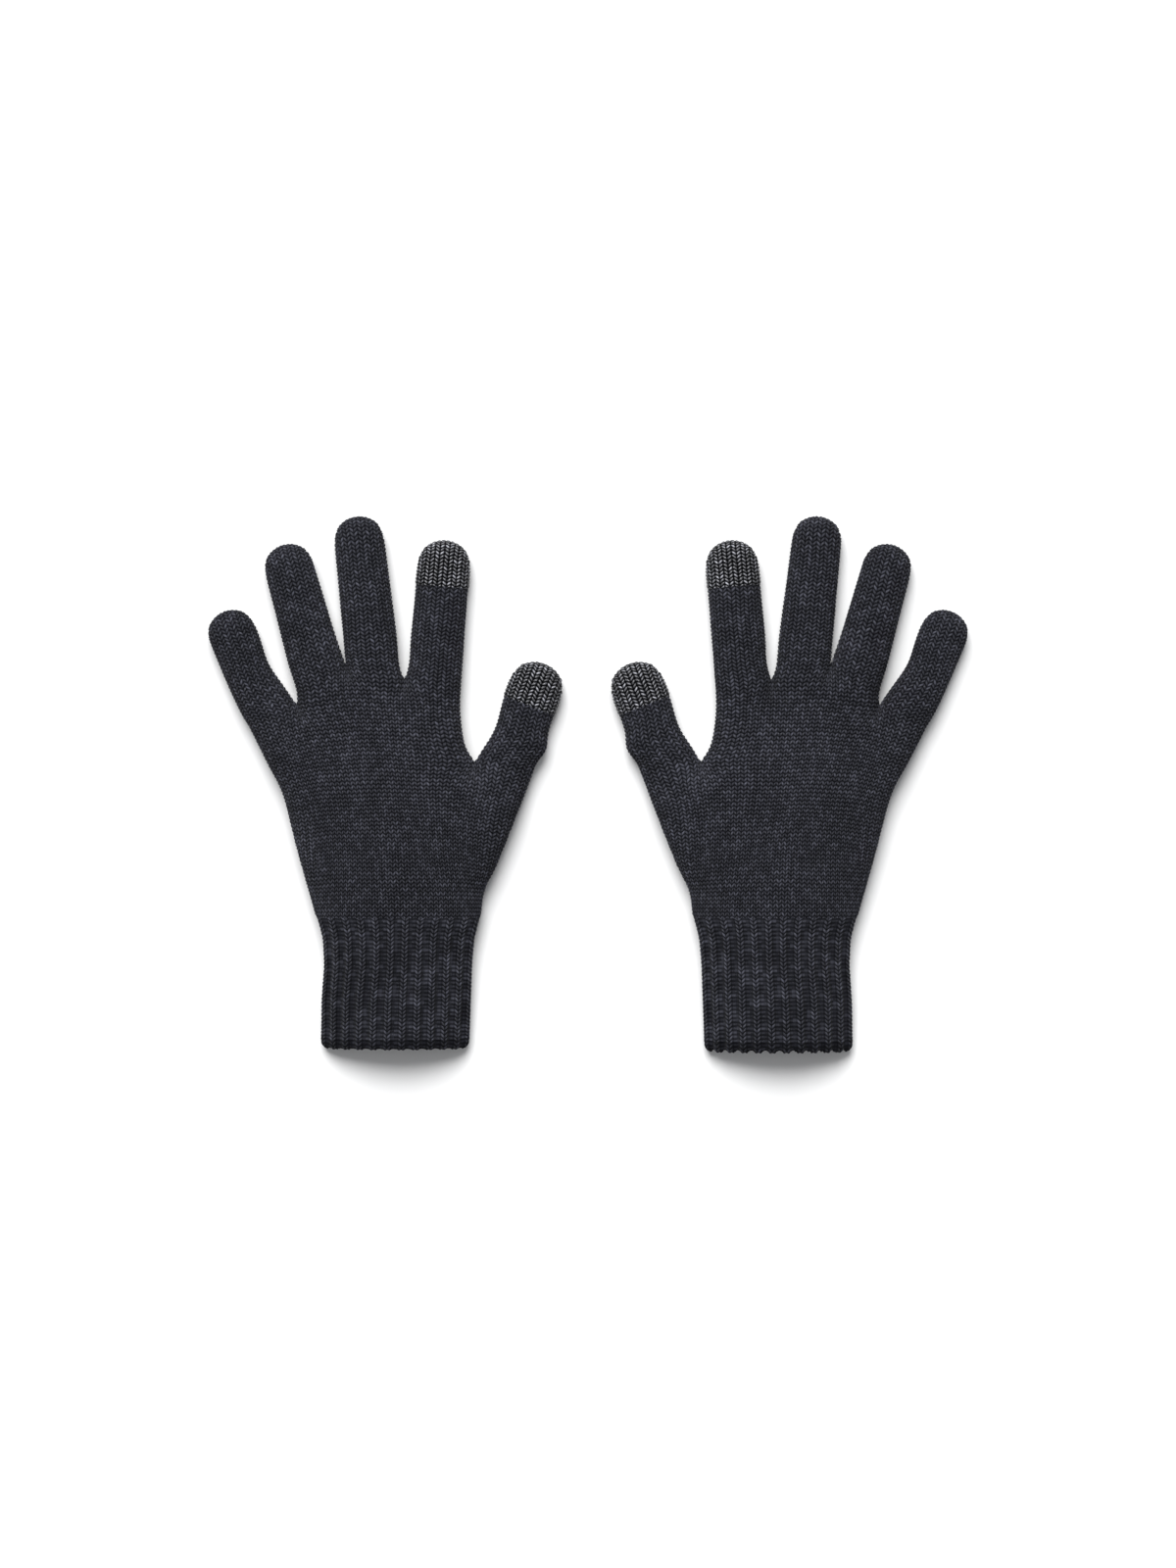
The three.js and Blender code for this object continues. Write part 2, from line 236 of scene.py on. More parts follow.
def digit_side(strip, side):
    """The free side of a digit: a point for each row from its crotch to the start of its round end."""
    name = NAMES[strip]
    digit, rows = DIGITS[name], ROWS[name]
    base, along, across = axes_of(digit)
    spec = LINES[strip + (side > 0)]
    offset = np.array(spec["top"]) - base
    start = offset @ along
    stations = [(spec["row"], start), (rows["split"], digit["split"])]
    if "touch" in rows:
        stations.append((rows["touch"], digit["touch"]))
    stations.append((rows["end"], digit["end"]))
    row = np.arange(spec["row"], rows["end"] + 1)
    t = np.interp(row, *zip(*stations))
    half = mix(digit["half"], digit["tip"], np.clip(t / digit["end"], 0, 1))
    flare = abs(offset @ across) - half[0]
    half = half + flare * np.exp((start - t) / FLARE_LENGTH) * (1 - smooth((t - start) / (digit["end"] - start)))
    for owner, where, at, by, spread in FULLNESS:
        if owner == name and where == side:
            half = half + by * np.exp(-(((t - at) / spread) ** 2))
    return base + np.outer(t, along) + np.outer(side * (half + OUTSET), across)


SIDES = {(s, side): digit_side(s, side) for s in range(5) for side in (-1, 1)}


def side_point(strip, side, row):
    """The left or right border of a strip of the cage at a row, and how free it is: 1 on the outline."""
    line = strip + (side > 0)
    top = LINES[line]["row"]
    outer = line in (0, 5)
    if row > top:
        return SIDES[strip, side][row - top], 1.0
    return PALM_LINES[line][row], 1.0 if outer else float(smooth((row - top + VALLEY_ROWS) / VALLEY_ROWS))


def column_share(strip, row, k):
    """How far across its strip a column lies, from 0 to 1."""
    _, free = side_point(strip, -1 if k < STRIP / 2 else 1, row)
    share = mix(k / STRIP, DIGIT_SHARE[k], free)
    wrist = [wrist_share(strip * STRIP + i) for i in (0, k, STRIP)]
    at_wrist = (wrist[1] - wrist[0]) / (wrist[2] - wrist[0])
    return mix(at_wrist, share, float(smooth(row / 10.0)))


# ---------------------------------------------------------------- the cage in space
def fullness(strip, row, point, width, back_width):
    """How full the glove is over a point: 0 on the outline and 1 well inside, for the front and the back."""
    front = back = 1.0
    for side in (-1, 1):
        s = strip
        edge, free = side_point(s, side, row)
        distance = np.linalg.norm(point - edge)
        while True:
            front *= 1.0 - free * (1.0 - rounded(distance, width[side]))
            back *= 1.0 - free * (1.0 - rounded(distance, back_width))
            s += side
            if free >= 1.0 or not 0 <= s < 5:
                break
            beyond, free = side_point(s, side, row)
            distance += np.linalg.norm(beyond - edge)
            edge = beyond
    return front, back


def thickness_at(digit, point):
    base, along, _ = axes_of(digit)
    t = (point - base) @ along
    palm = np.interp(point[1], *PALM_THICKNESS)
    finger = mix(FINGER_THICKNESS, TIP_THICKNESS, np.clip(t / digit["end"], 0, 1))
    return mix(palm, finger, smooth((t + 22.0) / 20.0)), t


def unevenness(point, seed):
    """Gentle waves of a worn, relaxed knit."""
    x, y = point[0] / 30.0, point[1] / 30.0
    return (0.5 * math.sin(2.1 * x + 1.3 * y + seed) + 0.3 * math.sin(-1.7 * x + 3.1 * y + 2.3 * seed)
            + 0.25 * math.sin(4.3 * x + 0.7 * y + 3.1 * seed))


def wander(point, seed):
    """How far the wales and the courses stray at a place."""
    return WALE_WANDER * unevenness(point * 2.1, seed + 1), COURSE_WANDER * unevenness(point * 1.7, seed + 2)


# What each vertex of the cage carries besides its place: U counts wales and V courses of the plain knit, R
# counts ribs, K is the distance past the start of the touch yarn, A goes from -1 to 1 across a digit, and S is
# how far a stitch's legs rise, in courses: the palm is stretched sideways, so they lie flatter there.
NO_TOUCH = -12.0
STEEP, FLAT = 0.85, 0.62


class Cage:
    """A coarse mesh, whose vertices are found again by a key."""

    def __init__(self):
        self.index, self.points, self.faces, self.labels = {}, [], [], []

    def vertex(self, key, make):
        if key not in self.index:
            self.index[key] = len(self.points)
            self.points.append([float(v) for v in make()])
        return self.index[key]

    def quad(self, corners, label, flip):
        self.faces.append(corners[::-1] if flip else corners)
        self.labels.append(label)


def row_label(strip, row):
    """The piece that the cage's faces between a row and the next belong to."""
    name, rows = NAMES[strip], ROWS[NAMES[strip]]
    if row < rows["root"]:
        return "palm"
    if row < rows["split"]:
        return f"{name}_lower"
    return f"{name}_touch_tip" if row >= rows.get("touch", 99) else f"{name}_upper"


def body_point(strip, row, k, back, seed):
    name = NAMES[strip]
    digit, rows = DIGITS[name], ROWS[name]
    left, _ = side_point(strip, -1, row)
    right, _ = side_point(strip, 1, row)
    point = mix(left, right, column_share(strip, row, k))
    thickness, t = thickness_at(digit, point)
    near_wrist = mix(WRIST_ROUNDING, PALM_ROUNDING, smooth(row / 12.0))
    width = {}
    for side in (-1, 1):
        slim = smooth((row - 22.0) / 9.0) if LINES[strip + (side > 0)]["row"] > 30 or row > 24 else 0.0
        width[side] = mix(near_wrist, digit["half"], slim)
    front_full, back_full = fullness(strip, row, point, width, BACK_ROUNDING)
    middle = WIDEST * thickness
    z = middle * (1 - back_full) if back else middle + (thickness - middle) * front_full
    if not back:
        z += SWELL * unevenness(point, seed) * front_full * smooth(row / 6.0)
    kept = mix(WRIST_WALES, 1.0, smooth(row / 20.0))
    u = (strip * STRIP + k - 2.5 * STRIP) * WALES / STRIP * kept
    touch = digit.get("touch")
    past = max(t - touch, NO_TOUCH) if touch is not None else NO_TOUCH
    border = smooth(abs(strip * STRIP + k - 2.5 * STRIP) / (2.5 * STRIP) * 2.2 - 1.2)
    heel = 0.7 * (1 - smooth((row - 10.0) / 8.0))
    slant = mix(FLAT, STEEP, max(smooth((t + 16.0) / 12.0), border, heel))
    ribs = (strip * STRIP + k) * RIBS / (5 * STRIP)
    wale_off, course_off = wander(point, seed)
    u += wale_off * smooth(row / 5.0)
    v = row * ROW / COURSE + course_off * smooth(row / 5.0)
    return (*point, z, u, v, ribs, past, 2 * k / STRIP - 1, slant)


def tip_height(digit, u, v, back):
    """The height of a digit's round end, at a place measured from its centre."""
    r = digit["tip"]
    inside = max(r - math.hypot(u, v), 0.0)
    middle = WIDEST * TIP_THICKNESS
    if back:
        return middle * (1 - rounded(inside, BACK_ROUNDING))
    return middle + (TIP_THICKNESS - middle) * rounded(inside, r)


def tip_course(digit, u, v, back):
    """How many courses up the round end a place is, counted over its curved surface. Front and back agree
    at the rim."""
    top = math.sqrt(max(digit["tip"] ** 2 - u * u, 0.01))
    steps = top * np.sin(np.linspace(0.0, math.pi / 2, 25))
    lengths = {}
    for face in (False, True):
        z = [tip_height(digit, u, step, face) for step in steps]
        lengths[face] = np.concatenate([[0.0], np.cumsum(np.hypot(np.diff(steps), np.diff(z)))])
    both = (lengths[False][-1] + lengths[True][-1]) / 2
    return float(np.interp(v, steps, lengths[back])) / lengths[back][-1] * both / COURSE


def tip_point(strip, m, k, back, seed):
    """The round end of a digit: its columns run on straight to the outline."""
    name = NAMES[strip]
    digit = DIGITS[name]
    base, along, across = axes_of(digit)
    r = digit["tip"]
    corner = math.radians(CORNER)
    low = np.array([r * (2 * DIGIT_SHARE[k] - 1), 0.0])
    turn = corner + (math.pi - 2 * corner) * k / STRIP
    high = np.array([-r * math.cos(turn), r * math.sin(turn)])
    up, over = math.sin(math.pi / 2 * m / TIP_ROWS), k / STRIP
    left = np.array([-r * math.cos(corner * up), r * math.sin(corner * up)])
    right = left * (-1, 1)
    ends = [np.array([sx * r * c, sy]) for c, sy in ((1.0, 0.0), (math.cos(corner), r * math.sin(corner)))
            for sx in (-1, 1)]
    corners = mix(mix(ends[0], ends[1], over), mix(ends[2], ends[3], over), up)
    u, v = mix(low, high, up) + mix(left, right, over) - corners
    wider = (OUTSET + (TIP_OUTSET - OUTSET) * up) / r
    point = base + along * (digit["end"] + v * (1 + TIP_OUTSET / r)) + across * u * (1 + wider)
    z = tip_height(digit, u, v, back)
    share = float(np.interp(u / r, 2 * DIGIT_SHARE - 1, np.linspace(-1, 1, STRIP + 1)))
    wale = (strip * STRIP + STRIP / 2 - 2.5 * STRIP) * WALES / STRIP + share * WALES / 2
    climb = tip_course(digit, u, v, back)
    wale_off, course_off = wander(point, seed)
    course = ROWS[name]["end"] * ROW / COURSE + climb + course_off
    touch = digit.get("touch")
    past = digit["end"] + climb * COURSE - touch if touch is not None else NO_TOUCH
    return (*point, z, wale + wale_off, course, 0.0, past, share, STEEP)


def cuff_loop(y, inset=0.0):
    """The 80 points round the cuff at a height above the hem, front then back, inset from its surface."""
    table = np.array(CUFF)
    middle, half, thickness = (np.interp(y, table[:, 0], table[:, i]) for i in (1, 2, 3))
    share = np.array([wrist_share(j) for j in range(5 * STRIP + 1)])
    x = middle + half * share
    edge = half * (1 - np.abs(share))
    low = mix(MOUTH_WIDEST, WIDEST, smooth(y / WRIST)) * thickness
    power = mix(MOUTH_POWER, ROUND_POWER, smooth(y / WRIST))
    front = low + (thickness - low) * rounded(edge, WRIST_ROUNDING, power)
    back = low * (1 - rounded(edge, BACK_ROUNDING))
    loop = np.concatenate([np.stack([x, front], 1), np.stack([x, back], 1)[-2:0:-1]])
    way = np.roll(loop, -1, 0) - np.roll(loop, 1, 0)
    normal = np.stack([-way[:, 1], way[:, 0]], 1)
    normal /= np.linalg.norm(normal, axis=1)[:, None]
    step = np.linalg.norm(np.roll(loop, -1, 0) - loop, axis=1)
    count = 5 * STRIP
    over = np.concatenate([[0.0], np.cumsum(step[:count])]) / step[:count].sum() * RIBS
    under = np.concatenate([[0.0], np.cumsum(step[count:][::-1])]) / step[count:].sum() * RIBS
    ribs = np.concatenate([over, under[-2:0:-1]])
    return loop + normal * inset, ribs


def loop_key(n, row):
    """Which vertex of the cage the loop's point n is: columns go left to right on both faces."""
    last = 5 * STRIP
    if n in (0, last):
        return ("edge", n, row)
    return ("front", n, row) if n < last else ("back", 2 * last - n, row)


def corner_lift(x, y):
    """How far the hem's round corners rise from its straight edge, at a place of the cuff."""
    _, middle, half, _ = CUFF[0]
    beyond = np.clip((abs(x - middle) - half + HEM_CORNER) / HEM_CORNER, 0.0, 0.94)
    return HEM_CORNER * (1 - math.sqrt(1 - beyond**2)) * (1 - smooth(y / HEM_CORNER_FADE))


def add_cuff(cage):
    """The cuff's outside, and the hem, which rolls in to its inside."""
    last = 5 * STRIP
    profile = [(y, 0.0) for y in np.linspace(WRIST, HEM_RADIUS, CUFF_ROWS)[1:]]
    for angle in (45.0, 90.0, 135.0, 180.0):
        turn = math.radians(angle)
        profile.append((HEM_RADIUS * (1 - math.sin(turn)), -HEM_RADIUS * (1 - math.cos(turn))))
    profile += [(HEM_RADIUS + 3.0, -RIB_KNIT), (HEM_RADIUS + 6.0, -RIB_KNIT)]
    wale = [(j - 2.5 * STRIP) * WALES / STRIP * WRIST_WALES for j in range(last + 1)]
    _, ribs = cuff_loop(WRIST)
    for n in range(2 * last):
        cage.points[cage.index[loop_key(n, 0)]][5] = float(ribs[n])
    travel, before = 0.0, (WRIST, 0.0)
    for row, (y, inset) in enumerate(profile, 1):
        travel += math.dist((y, inset), before)
        before = (y, inset)
        loop, ribs = cuff_loop(y, inset)
        for n in range(2 * last):
            j = n if n <= last else 2 * last - n
            x, z = loop[n]
            values = (x, y + corner_lift(x, y), z, wale[j], -travel / COURSE, ribs[n], NO_TOUCH, 0.0, STEEP)
            cage.vertex(loop_key(n, -row), lambda values=values: values)
        label = "cuff_rib" if y > HEM - ROW / 2 and inset == 0 else "cuff_hem"
        for n in range(2 * last):
            m = (n + 1) % (2 * last)
            corners = [cage.index[loop_key(a, b)] for a, b in ((n, 1 - row), (n, -row), (m, -row), (m, 1 - row))]
            cage.quad(corners, label, False)


def vertex_key(strip, k, row, back):
    """Vertices on the outline belong to both faces, and those between two strips to both strips."""
    column = strip * STRIP + k
    if k in (0, STRIP):
        line = strip + (k > 0)
        if row > LINES[line]["row"]:
            return ("side", strip, k, row)
        if line in (0, 5) or row == LINES[line]["row"]:
            return ("edge", column, row)
    return ("back" if back else "front", column, row)


def build_cage(seed):
    cage = Cage()
    for strip, name in enumerate(NAMES):
        end = ROWS[name]["end"]
        for back in (False, True):

            def corner(row, k):
                if row > end:
                    m = row - end
                    rim = k in (0, STRIP) or m == TIP_ROWS
                    key = ("tip", strip, m, k, back and not rim)
                    return cage.vertex(key, lambda: tip_point(strip, m, k, back, seed))
                key = vertex_key(strip, k, row, back)
                return cage.vertex(key, lambda: body_point(strip, row, k, back, seed))

            for row in range(end + TIP_ROWS):
                for k in range(STRIP):
                    corners = [corner(row, k), corner(row, k + 1), corner(row + 1, k + 1), corner(row + 1, k)]
                    cage.quad(corners, row_label(strip, row), back)
    add_cuff(cage)
    return cage


# ---------------------------------------------------------------- smooth surfaces
def subdivide(points, faces):
    """One step of Catmull and Clark's subdivision of a mesh of four-sided faces, fields included."""
    count = len(points)
    centres = points[faces].mean(1)
    a, b = faces.ravel(), np.roll(faces, -1, 1).ravel()
    low, high = np.minimum(a, b), np.maximum(a, b)
    keys, first, edge_of = np.unique(low.astype(np.int64) * count + high, return_index=True, return_inverse=True)
    ends = np.stack([low[first], high[first]], 1)
    owner = np.repeat(np.arange(len(faces)), 4)
    edges = len(keys)
    sides = np.bincount(edge_of, minlength=edges)
    beside = sums(edge_of, centres[owner], edges)
    middles = points[ends].mean(1)
    inner = (sides == 2)[:, None]
    edge_points = np.where(inner, (middles * 2 + beside) / 4, middles)
    valence = np.bincount(a, minlength=count)[:, None]
    face_mean = sums(a, centres[owner], count) / valence
    ring = np.bincount(ends.ravel(), minlength=count)[:, None]
    edge_mean = sums(ends.ravel(), np.repeat(middles, 2, 0), count) / ring
    moved = (face_mean + 2 * edge_mean + (valence - 3) * points) / valence
    rim_edges = np.nonzero(sides == 1)[0]
    rim = np.bincount(ends[rim_edges].ravel(), minlength=count)[:, None]
    rim_mean = sums(ends[rim_edges].ravel(), np.repeat(middles[rim_edges], 2, 0), count) / np.maximum(rim, 1)
    moved = np.where(rim > 0, (points + rim_mean) / 2, moved)
    corner = faces.ravel()
    after = count + edge_of
    before = count + np.roll(edge_of.reshape(-1, 4), 1, 1).ravel()
    centre = count + edges + owner
    return (np.concatenate([moved, edge_points, centres]), np.stack([corner, after, centre, before], 1))


def sums(index, values, count):
    return np.stack([np.bincount(index, values[:, i], count) for i in range(values.shape[1])], 1)


def normals_of(points, faces):
    p = points[faces]
    face = np.cross(p[:, 2] - p[:, 0], p[:, 3] - p[:, 1])
    normal = sums(faces.ravel(), np.repeat(face, 4, 0), len(points))
    return normal / np.maximum(np.linalg.norm(normal, axis=1), 1e-12)[:, None]


# ---------------------------------------------------------------- stitches
PLAIN_RELIEF = 0.62  # the depth of the stitches
TOUCH_RELIEF = 0.75
TOUCH_STEP = 0.3  # how far the thicker touch yarn stands proud
TOUCH_HALF_WALES = 4.0
TOUCH_COURSE = 1.63
RIB_HEIGHT = 1.0
RIB_SHARE = 0.52  # the share of a rib's pitch that its raised wale takes
LINING_RELIEF = 0.3


def stitch(u, v, slant):
    """The height of a plain stitch, from 0 to 1: two legs that rise outwards from the wale's middle."""
    side = np.abs(u - np.floor(u) - 0.5) * 2
    phase = v - slant * side
    phase = phase - np.floor(phase)
    leg = 1 - np.abs(2 * phase - 1) ** 2.3
    across = 1 - 0.62 * np.abs(2 * side - 1) ** 2.6
    return leg * across


def ridge_at(off):
    """1 on a rib's raised wale, and 0 in the valley, by the distance from the wale's middle."""
    return 1 - smooth((off - RIB_SHARE * 0.55) / (1.25 * RIB_SHARE))


def gathered_at(y):
    """How far the knit is gathered into ribs: 0 above the wrist, and 1 from 9 mm below it."""
    return smooth((WRIST + 1.0 - y) / 10.0)


def rib_height(ribs, v):
    """The height of the ribbing: a raised wale of plain stitches, and a valley of purl bumps."""
    place = ribs - np.floor(ribs)
    off = np.abs(place - 0.5) * 2
    wale = np.clip((place - 0.5) / RIB_SHARE, -0.5, 0.5) + 0.5
    knit = stitch(np.clip(wale, 0.001, 0.999), v, STEEP)
    purl = 0.5 + 0.5 * np.cos(2 * math.pi * (v + 0.5 * np.floor(2 * place)))
    inside = smooth((RIB_SHARE * 1.1 - off) / 0.15)
    relief = mix(0.45 * purl, knit, inside)
    return RIB_HEIGHT * (ridge_at(off) - 0.5), relief


def displaced(points, faces, scallop):
    """The surface with its stitches."""
    place, (u, v, ribs, past, share, slant) = points[:, :3], points[:, 3:].T
    touch = smooth((past + 0.3) / 0.8)
    plain = stitch(u, v, slant)
    bright = stitch(share * TOUCH_HALF_WALES, past / TOUCH_COURSE, slant)
    rib_offset, rib = rib_height(ribs, v)
    y = place[:, 1]
    cuff = smooth((WRIST - y) / 1.2)
    seam = 1 - 0.5 * np.exp(-(((y - WRIST) / 1.1) ** 2))
    hem = smooth(y / 6.0)
    rib_offset = rib_offset * mix(scallop, 1.0, hem) * gathered_at(y)
    height = mix(mix(plain, rib, cuff), bright, touch) * seam
    relief = mix(PLAIN_RELIEF, TOUCH_RELIEF, touch)
    offset = (height - 0.5) * relief + touch * TOUCH_STEP + rib_offset
    return place + normals_of(place, faces) * offset[:, None]


def stitch_fields(points, label):
    """What the materials read: wales, courses, how far a place is in a purl valley, and how high it lies on a rib,
    which sets a painted shade in the ribs' valleys.
    """
    u, v, ribs, past, share, slant = points[:, 3:].T
    fields = {"wale": u, "course": v, "slant": slant, "purl": 0 * u, "rise": 0 * u + 1}
    if label.endswith("touch_tip"):
        return fields | {"wale": share * TOUCH_HALF_WALES, "course": past / TOUCH_COURSE}
    if not label.startswith("cuff"):
        return fields
    place = ribs - np.floor(ribs)
    wale = np.floor(ribs) + np.clip((place - 0.5) / RIB_SHARE, -0.499, 0.499) + 0.5
    off = np.abs(place - 0.5) * 2
    purl = smooth((off - RIB_SHARE * 0.9) / 0.2)
    rise = mix(1.0, ridge_at(off), gathered_at(points[:, 1]))
    return fields | {"wale": wale, "purl": purl, "rise": rise}


# ---------------------------------------------------------------- Blender meshes
def make_object(name, points, faces, fields, mirrored):
    """A smooth-shaded mesh of four-sided faces with the stitch fields that its material reads."""
    sign = -1.0 if mirrored else 1.0
    world = np.stack([sign * (points[:, 0] - SPREAD), points[:, 1] - LENGTH / 2, points[:, 2]], 1) * MM
    loops = (faces[:, ::-1] if mirrored else faces).astype(np.int32).ravel()
    mesh = bpy.data.meshes.new(name)
    mesh.vertices.add(len(world))
    mesh.vertices.foreach_set("co", world.astype(np.float32).ravel())
    mesh.loops.add(len(loops))
    mesh.loops.foreach_set("vertex_index", loops)
    mesh.polygons.add(len(faces))
    mesh.polygons.foreach_set("loop_start", np.arange(0, len(loops), 4, dtype=np.int32))
    mesh.polygons.foreach_set("use_smooth", np.ones(len(faces), bool))
    mesh.update(calc_edges=True)
    for field, values in fields.items():
        attribute = mesh.attributes.new(field, "FLOAT", "POINT")
        attribute.data.foreach_set("value", values.astype(np.float32))
    thing = bpy.data.objects.new(name, mesh)
    bpy.context.scene.collection.objects.link(thing)
    return thing


def part_of(points, faces, chosen, fields):
    """The chosen faces alone, with only their own vertices."""
    used, index = np.unique(faces[chosen], return_inverse=True)
    return points[used], index.reshape(-1, 4), {key: values[used] for key, values in fields.items()}


# ---------------------------------------------------------------- materials
class Graph:
    """Adds nodes to a material in few words."""

    def __init__(self, name):
        self.material = bpy.data.materials.new(name)
        self.material.use_nodes = True
        self.nodes, self.links = self.material.node_tree.nodes, self.material.node_tree.links
        self.shader = self.nodes["Principled BSDF"]

    def feed(self, socket, value):
        if isinstance(value, bpy.types.NodeSocket):
            self.links.new(value, socket)
        else:
            socket.default_value = value

    def math(self, operation, *values):
        node = self.nodes.new("ShaderNodeMath")
        node.operation = operation
        for socket, value in zip(node.inputs, values):
            self.feed(socket, value)
        return node.outputs[0]

    def field(self, name):
        node = self.nodes.new("ShaderNodeAttribute")
        node.attribute_name = name
        return node.outputs["Fac"]

    def noise(self, scale, detail=2.0):
        where = self.nodes.new("ShaderNodeTexCoord")
        node = self.nodes.new("ShaderNodeTexNoise")
        node.inputs["Scale"].default_value = scale
        node.inputs["Detail"].default_value = detail
        self.links.new(where.outputs["Object"], node.inputs["Vector"])
        return node.outputs["Fac"]

    def mix(self, share, a, b, blend="MIX"):
        node = self.nodes.new("ShaderNodeMix")
        node.data_type = "RGBA"
        node.blend_type = blend
        for index, value in ((0, share), (6, a), (7, b)):
            self.feed(node.inputs[index], value)
        return node.outputs[2]

    def map(self, value, low, high, to_low=0.0, to_high=1.0):
        node = self.nodes.new("ShaderNodeMapRange")
        for socket, number in zip(node.inputs, (value, low, high, to_low, to_high)):
            self.feed(socket, number)
        return node.outputs["Result"]

    def grey(self, value):
        node = self.nodes.new("ShaderNodeCombineColor")
        for socket in node.inputs:
            self.feed(socket, value)
        return node.outputs[0]


def knit_material(name, gap_shade_colour, light, fibre_and_glint, roughness, specular, variety, gaps=0.15, metallic=0.0):
    """Yarn in stitches, with painted shade in the gaps between the legs and the wales and in the purl valleys, each
    leg a little different, and pale fibres that are partly a painted highlight.
    """
    g = Graph(name)
    wale, course, slant, purl, rise = (g.field(name) for name in ("wale", "course", "slant", "purl", "rise"))
    side = g.math("MULTIPLY", g.math("ABSOLUTE", g.math("SUBTRACT", g.math("FRACT", wale), 0.5)), 2.0)
    climb = g.math("SUBTRACT", course, g.math("MULTIPLY", side, slant))
    gap = g.math("ABSOLUTE", g.math("MULTIPLY_ADD", g.math("FRACT", climb), 2.0, -1.0))
    leg = g.math("SUBTRACT", 1.0, g.math("POWER", gap, 1.7))
    between = g.math("ABSOLUTE", g.math("MULTIPLY_ADD", side, 2.0, -1.0))
    across = g.math("MULTIPLY_ADD", g.math("POWER", between, 2.4), -0.8, 1.0)
    knit = g.math("MULTIPLY", leg, across)
    bumps = g.math("MULTIPLY_ADD", g.math("SINE", g.math("MULTIPLY", course, 2 * math.pi)), 0.17, 0.44)
    height = g.math("ADD", g.math("MULTIPLY", knit, g.math("SUBTRACT", 1.0, purl)), g.math("MULTIPLY", bumps, purl))
    cell = g.nodes.new("ShaderNodeCombineXYZ")
    g.feed(cell.inputs[0], g.math("FLOOR", g.math("MULTIPLY", wale, 2.0)))
    g.feed(cell.inputs[1], g.math("FLOOR", climb))
    chance = g.nodes.new("ShaderNodeTexWhiteNoise")
    chance.noise_dimensions = "2D"
    g.links.new(cell.outputs[0], chance.inputs["Vector"])
    own = g.math("MULTIPLY_ADD", g.math("POWER", chance.outputs["Value"], 3.0), 2.5 * variety, 1.0 - 0.7 * variety)
    worn = g.map(g.math("ADD", g.noise(35.0), g.noise(170.0)), 0.7, 1.3, 0.78, 1.22)
    fibres = g.noise(1800.0, 3.0)
    # Painted shade: the colour darkens from the legs' tops down into the gaps between legs and wales and into the
    # purl valleys.
    colour = g.mix(g.map(height, gaps, 0.95), (*gap_shade_colour, 1), (*light, 1))
    # Each leg's own tone and a random mottle, times a painted shade that darkens the ribs' valleys.
    bright = g.math("MULTIPLY", g.math("MULTIPLY", own, worn), g.map(rise, 0.0, 1.0, 0.85, 1.0))
    colour = g.mix(1.0, colour, g.grey(bright), "MULTIPLY")
    # Pale fibres, partly a painted highlight of glints on them, shown only on the raised legs and kept out of the
    # shaded gaps.
    fibre_and_glint_mask = g.math("MULTIPLY", g.map(fibres, 0.55, 0.72), g.map(height, 0.3, 0.9, 0.0, 0.6))
    g.feed(g.shader.inputs["Base Color"], g.mix(fibre_and_glint_mask, colour, (*fibre_and_glint, 1)))
    g.feed(g.shader.inputs["Roughness"], g.map(fibres, 0.3, 0.7, roughness + 0.08, roughness - 0.08))
    g.shader.inputs["Metallic"].default_value = metallic
    g.feed(g.shader.inputs["Specular IOR Level"], g.map(height, 0.4, 0.95, 0.0, specular))
    g.shader.inputs["Sheen Weight"].default_value = 0.04
    g.shader.inputs["Sheen Roughness"].default_value = 0.5
    bump = g.nodes.new("ShaderNodeBump")
    bump.inputs["Strength"].default_value = 0.6
    bump.inputs["Distance"].default_value = 0.0004
    g.feed(bump.inputs["Height"], g.math("MULTIPLY_ADD", fibres, 0.35, height))
    g.links.new(bump.outputs["Normal"], g.shader.inputs["Normal"])
    return g.material


MATERIALS = {
    "plain_knit": knit_material("plain_knit", (0.0039, 0.0040, 0.0051), (0.0308, 0.0317, 0.0408),
                                (0.105, 0.107, 0.12), 0.85, 0.12, 0.45, 0.15),
    "rib_knit": knit_material("rib_knit", (0.0040, 0.0041, 0.0052), (0.0315, 0.0325, 0.0418),
                              (0.105, 0.107, 0.12), 0.85, 0.12, 0.45, 0.14),
    # The hem's knit is a darker copy of the rib knit: painted shade on the rolled hem and the inside of the cuff's
    # mouth.
    "hem_knit": knit_material("hem_knit", (0.0034, 0.0035, 0.0045), (0.0128, 0.0132, 0.0175),
                              (0.04, 0.042, 0.05), 0.88, 0.08, 0.4, 0.2),
    # The touch yarn's pale fleck is partly a painted highlight of glints on its silvered fibres.
    "touch_yarn": knit_material("touch_yarn", (0.0012, 0.0012, 0.0018), (0.103, 0.105, 0.117),
                                (0.45, 0.45, 0.48), 0.36, 0.6, 0.8, 0.46, 0.1),
}


def elastic_material():
    material = bpy.data.materials.new("elastic_yarn")
    material.use_nodes = True
    nodes, links = material.node_tree.nodes, material.node_tree.links
    shader = nodes["Principled BSDF"]
    shader.inputs["Roughness"].default_value = 0.45
    wave = nodes.new("ShaderNodeTexWave")
    wave.inputs["Scale"].default_value = 700.0
    ramp = nodes.new("ShaderNodeValToRGB")
    ramp.color_ramp.elements[0].color = (0.006, 0.006, 0.008, 1)
    ramp.color_ramp.elements[1].color = (0.02, 0.02, 0.025, 1)
    where = nodes.new("ShaderNodeTexCoord")
    links.new(where.outputs["Object"], wave.inputs["Vector"])
    links.new(wave.outputs["Fac"], ramp.inputs["Fac"])
    links.new(ramp.outputs["Color"], shader.inputs["Base Color"])
    return material


MATERIALS["elastic_yarn"] = elastic_material()


